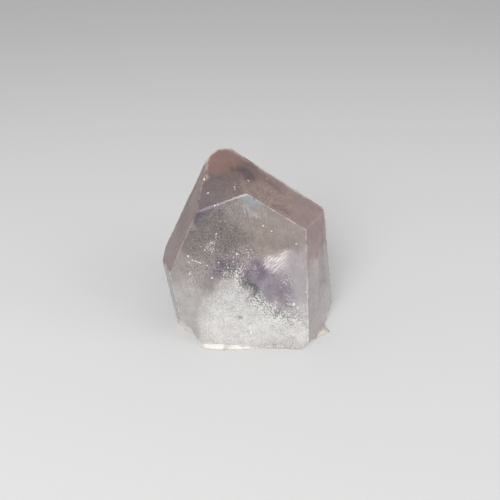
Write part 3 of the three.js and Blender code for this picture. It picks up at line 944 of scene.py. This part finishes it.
def node(kind, inputs, **settings):
    """A shader node with its settings and its inputs, each of which is a plain value or another socket."""
    made = tree.nodes.new("ShaderNode" + kind)
    for name, value in settings.items():
        setattr(made, name, value)
    for name, value in inputs.items():
        if isinstance(value, bpy.types.NodeSocket):
            tree.links.new(value, made.inputs[name])
        else:
            made.inputs[name].default_value = value
    return made


def layer_value(name):
    """The value of one of the mesh's own layers."""
    return node("Attribute", {}, attribute_name=name).outputs["Fac"]


def maths(operation, a, b):
    """Two values put together by one operation."""
    return node("Math", {0: a, 1: b}, operation=operation).outputs[0]


def noise(vector, scale, detail):
    """Noise from about 0.2 to 0.8 whose lumps are one unit over the scale across."""
    settings = {"Vector": vector, "Scale": scale, "Detail": detail, "Roughness": 0.6}
    return node("TexNoise", settings).outputs["Fac"]


def ramp(value, start, end, low=0.0, high=1.0):
    """A value that goes smoothly from low to high as another goes from start to end."""
    inputs = {"Value": value, "From Min": start, "From Max": end, "To Min": low, "To Max": high}
    return node("MapRange", inputs, interpolation_type="SMOOTHSTEP").outputs["Result"]


def dithered(amount, grain, spread, start, end):
    """Flecks whose number follows an amount: the amount plus a spread of noise, ramped up steeply."""
    return ramp(maths("ADD", amount, maths("MULTIPLY", grain, spread)), start, end)


def over(colour, screen, share):
    """A colour given as it shows on a screen, laid over another by a share."""
    inputs = {"Factor": share, 6: colour, 7: (*light_of(*screen), 1)}
    return node("Mix", inputs, data_type="RGBA").outputs[2]


place = node("TexCoord", {}).outputs["Object"]


def elsewhere(shift):
    """The place moved by a shift, so that a noise read there is like no other."""
    return node("VectorMath", {0: place, 1: shift}, operation="ADD").outputs[0]


def along_way(way, scale):
    """How far along a direction the place is, times a scale."""
    made = node("VectorMath", {0: place, 1: tuple(way)}, operation="DOT_PRODUCT")
    return maths("MULTIPLY", made.outputs["Value"], scale)


def in_axes(across, along):
    """The place in the crystal's own axes, times one scale across its long axis and another along it."""
    ways = {i: along_way(AXES[:, i], scale) for i, scale in enumerate((across, across, along))}
    return node("CombineXYZ", ways).outputs[0]


cloud = noise(place, 600, 5.0)
coarse_grain = noise(place, 1100, 3.0)
fine_grain = noise(place, 2900, 3.0)
pepper_grain = noise(elsewhere((0.3, 0.1, 0.2)), 2900, 2.0)
grit_grain = noise(elsewhere((0.3, 0.1, 0.2)), 4200, 1.0)
glint_grain = noise(elsewhere((0.1, 0.4, 0.3)), 3400, 1.0)

# The feather's strokes are noise drawn out along one direction, seen in the front wall
STROKE_WAY = (0.74, 0.16, 0.65)
STROKE_SIDE = (0.66, -0.23, -0.71)
combed = node("CombineXYZ", {0: along_way(STROKE_WAY, 0.16), 1: along_way(STROKE_SIDE, 1.0)}).outputs[0]
strokes = noise(combed, 3900, 2.0)

# Growth leaves faint streaks along the axis, and fine steps across it on the walls
drawn_along = in_axes(1.0, 0.12)
streaks = noise(drawn_along, 1500, 2.0)
strands = noise(drawn_along, 3600, 2.0)
steps = noise(in_axes(0.06, 1.0), 1800, 2.0)

snow = layer_value("snow")
pepper = layer_value("pepper")
feather = layer_value("feather")
fringe = layer_value("fringe")
grit = layer_value("grit")
glint = layer_value("glint")
broken = layer_value("broken")
walls = layer_value("walls")

# The body: its tint made lighter and darker by clouds, grain, streaks and grit
streaked = maths("MULTIPLY", maths("SUBTRACT", streaks, 0.5), maths("MULTIPLY", walls, 0.6))
grained = maths("ADD", maths("MULTIPLY", fine_grain, 0.3), maths("MULTIPLY", coarse_grain, 0.2))
gritty = maths("ADD", maths("MULTIPLY", grit_grain, 1.7), maths("MULTIPLY", strands, 0.5))
gritty = maths("MULTIPLY", maths("SUBTRACT", gritty, 1.1), grit)
shade = maths("ADD", maths("ADD", ramp(cloud, 0.3, 0.7, 0.67, 0.83), grained), streaked)
shade = maths("ADD", shade, gritty)
tint = node("Attribute", {}, attribute_name="tint").outputs["Color"]
base = node("VectorMath", {0: tint, "Scale": shade}, operation="SCALE").outputs[0]

# Pepper, then snow, whose flecks stand out most where there is pepper or grit round them
base = over(base, PEPPER_DARK, maths("MULTIPLY", dithered(pepper, pepper_grain, 3.0, 2.1, 3.0), 0.75))
flecks = dithered(maths("ADD", maths("MULTIPLY", snow, 0.8), cloud), fine_grain, 4.0, 2.85, 3.5)
contrast = ramp(maths("MAXIMUM", pepper, grit), 0.05, 0.6, 0.35, 0.9)
flecks = maths("ADD", maths("MULTIPLY", maths("SUBTRACT", flecks, 0.5), contrast), 0.5)
white = maths("MULTIPLY", flecks, ramp(snow, 0.0, 0.35, 0.0, 0.75))
base = over(base, SNOW_WHITE, white)

# The feather is a faint veil with strokes in it; strands, glints and specks lie over it
combing = maths("MULTIPLY", dithered(feather, strokes, 6.0, 3.6, 4.8), ramp(feather, 0.0, 0.5, 0.0, 0.8))
base = over(base, VEIL_WHITE, maths("MULTIPLY", feather, 0.15))
base = over(base, STROKE_WHITE, combing)
base = over(base, STRAND_PALE, maths("MULTIPLY", dithered(fringe, strands, 3.0, 2.0, 3.0), 0.6))
glints = maths("MULTIPLY", dithered(glint, glint_grain, 5.0, 3.3, 3.8), ramp(glint, 0.0, 0.15, 0.0, 0.8))
base = over(base, GLINT_WHITE, glints)
# Specks, some of them painted glints
base = over(base, SPECK_AND_GLINT_WHITE, maths("MULTIPLY", ramp(layer_value("speck_and_glint"), 0.5, 0.72), 0.9))
tree.links.new(base, shader.inputs["Base Color"])

# Light goes through and is scattered inside; broken skin is matt
cloudy = maths("MAXIMUM", maths("MAXIMUM", white, broken), feather)
clearness = ramp(cloudy, 0.0, 1.0, CLEAR_TRANSMISSION, CLOUDY_TRANSMISSION)
tree.links.new(clearness, shader.inputs["Transmission Weight"])
rough = maths("ADD", ramp(coarse_grain, 0.3, 0.7, 0.14, 0.24), maths("MULTIPLY", broken, 0.3))
tree.links.new(rough, shader.inputs["Roughness"])
shader.inputs["IOR"].default_value = QUARTZ_IOR
shader.inputs["Subsurface Weight"].default_value = 0.5
shader.inputs["Subsurface Radius"].default_value = (1.0, 0.85, 0.9)
shader.inputs["Subsurface Scale"].default_value = 0.002
absorbing = node("VolumeAbsorption", {"Color": TRANSMITTED_TINT, "Density": ABSORPTION_PER_METRE})
tree.links.new(absorbing.outputs["Volume"], tree.nodes["Material Output"].inputs["Volume"])

# The finest relief, of grain, of broken skin and of growth steps
relief = maths("ADD", maths("MULTIPLY", coarse_grain, 0.25), maths("MULTIPLY", fine_grain, broken))
relief = maths("ADD", relief, maths("MULTIPLY", steps, walls))
bump = node("Bump", {"Height": relief, "Strength": 0.5, "Distance": 0.0001})
tree.links.new(bump.outputs["Normal"], shader.inputs["Normal"])
crystal.data.materials.append(crystal_material)

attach(crystal, "root")
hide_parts("amethyst_point")


# The floor
# A plain pale sheet that the crystal stands on. It is so wide that its far edge is a level horizon where
# the camera looks low, and is out of the picture where it looks down.
FLOOR_HALF = 9
FLOOR_GREY = (0.56, 0.56, 0.56, 1)

floor_corners = [(x * FLOOR_HALF, y * FLOOR_HALF, 0) for x, y in ((-1, -1), (1, -1), (1, 1), (-1, 1))]
floor_mesh = bpy.data.meshes.new("floor")
floor_mesh.from_pydata(floor_corners, [], [(0, 1, 2, 3)])
floor = bpy.data.objects.new("floor", floor_mesh)
bpy.context.scene.collection.objects.link(floor)
floor_material = bpy.data.materials.new("floor")
floor_material.use_nodes = True
floor_shader = floor_material.node_tree.nodes["Principled BSDF"]
floor_shader.inputs["Base Color"].default_value = FLOOR_GREY
floor_shader.inputs["Roughness"].default_value = 0.8
floor_mesh.materials.append(floor_material)


# The light
# A soft studio: a white surround, a broad key lamp in front on the left, and a weaker fill on the right.
# Each lamp has its place, its width and its power, in metres and watts, and points at the crystal.
SURROUND_STRENGTH = 0.7
LAMPS = {
    "key": ((-0.13, -0.28, 0.27), 0.25, 1.25),
    "fill": ((0.36, -0.12, 0.2), 0.3, 0.5),
}
LAMPS_AIM = Vector((0, 0, 0.015))

bpy.context.scene.view_settings.view_transform = "Standard"
world = bpy.data.worlds.new("studio")
bpy.context.scene.world = world
world.use_nodes = True
surround = world.node_tree.nodes["Background"]
surround.inputs["Color"].default_value = (1, 1, 1, 1)
surround.inputs["Strength"].default_value = SURROUND_STRENGTH

for name, (lamp_place, width, power) in LAMPS.items():
    lamp_data = bpy.data.lights.new(name, "AREA")
    lamp_data.size = width
    lamp_data.energy = power
    lamp = bpy.data.objects.new(name, lamp_data)
    lamp.location = lamp_place
    lamp.rotation_euler = (LAMPS_AIM - lamp.location).to_track_quat("-Z", "Y").to_euler()
    bpy.context.scene.collection.objects.link(lamp)
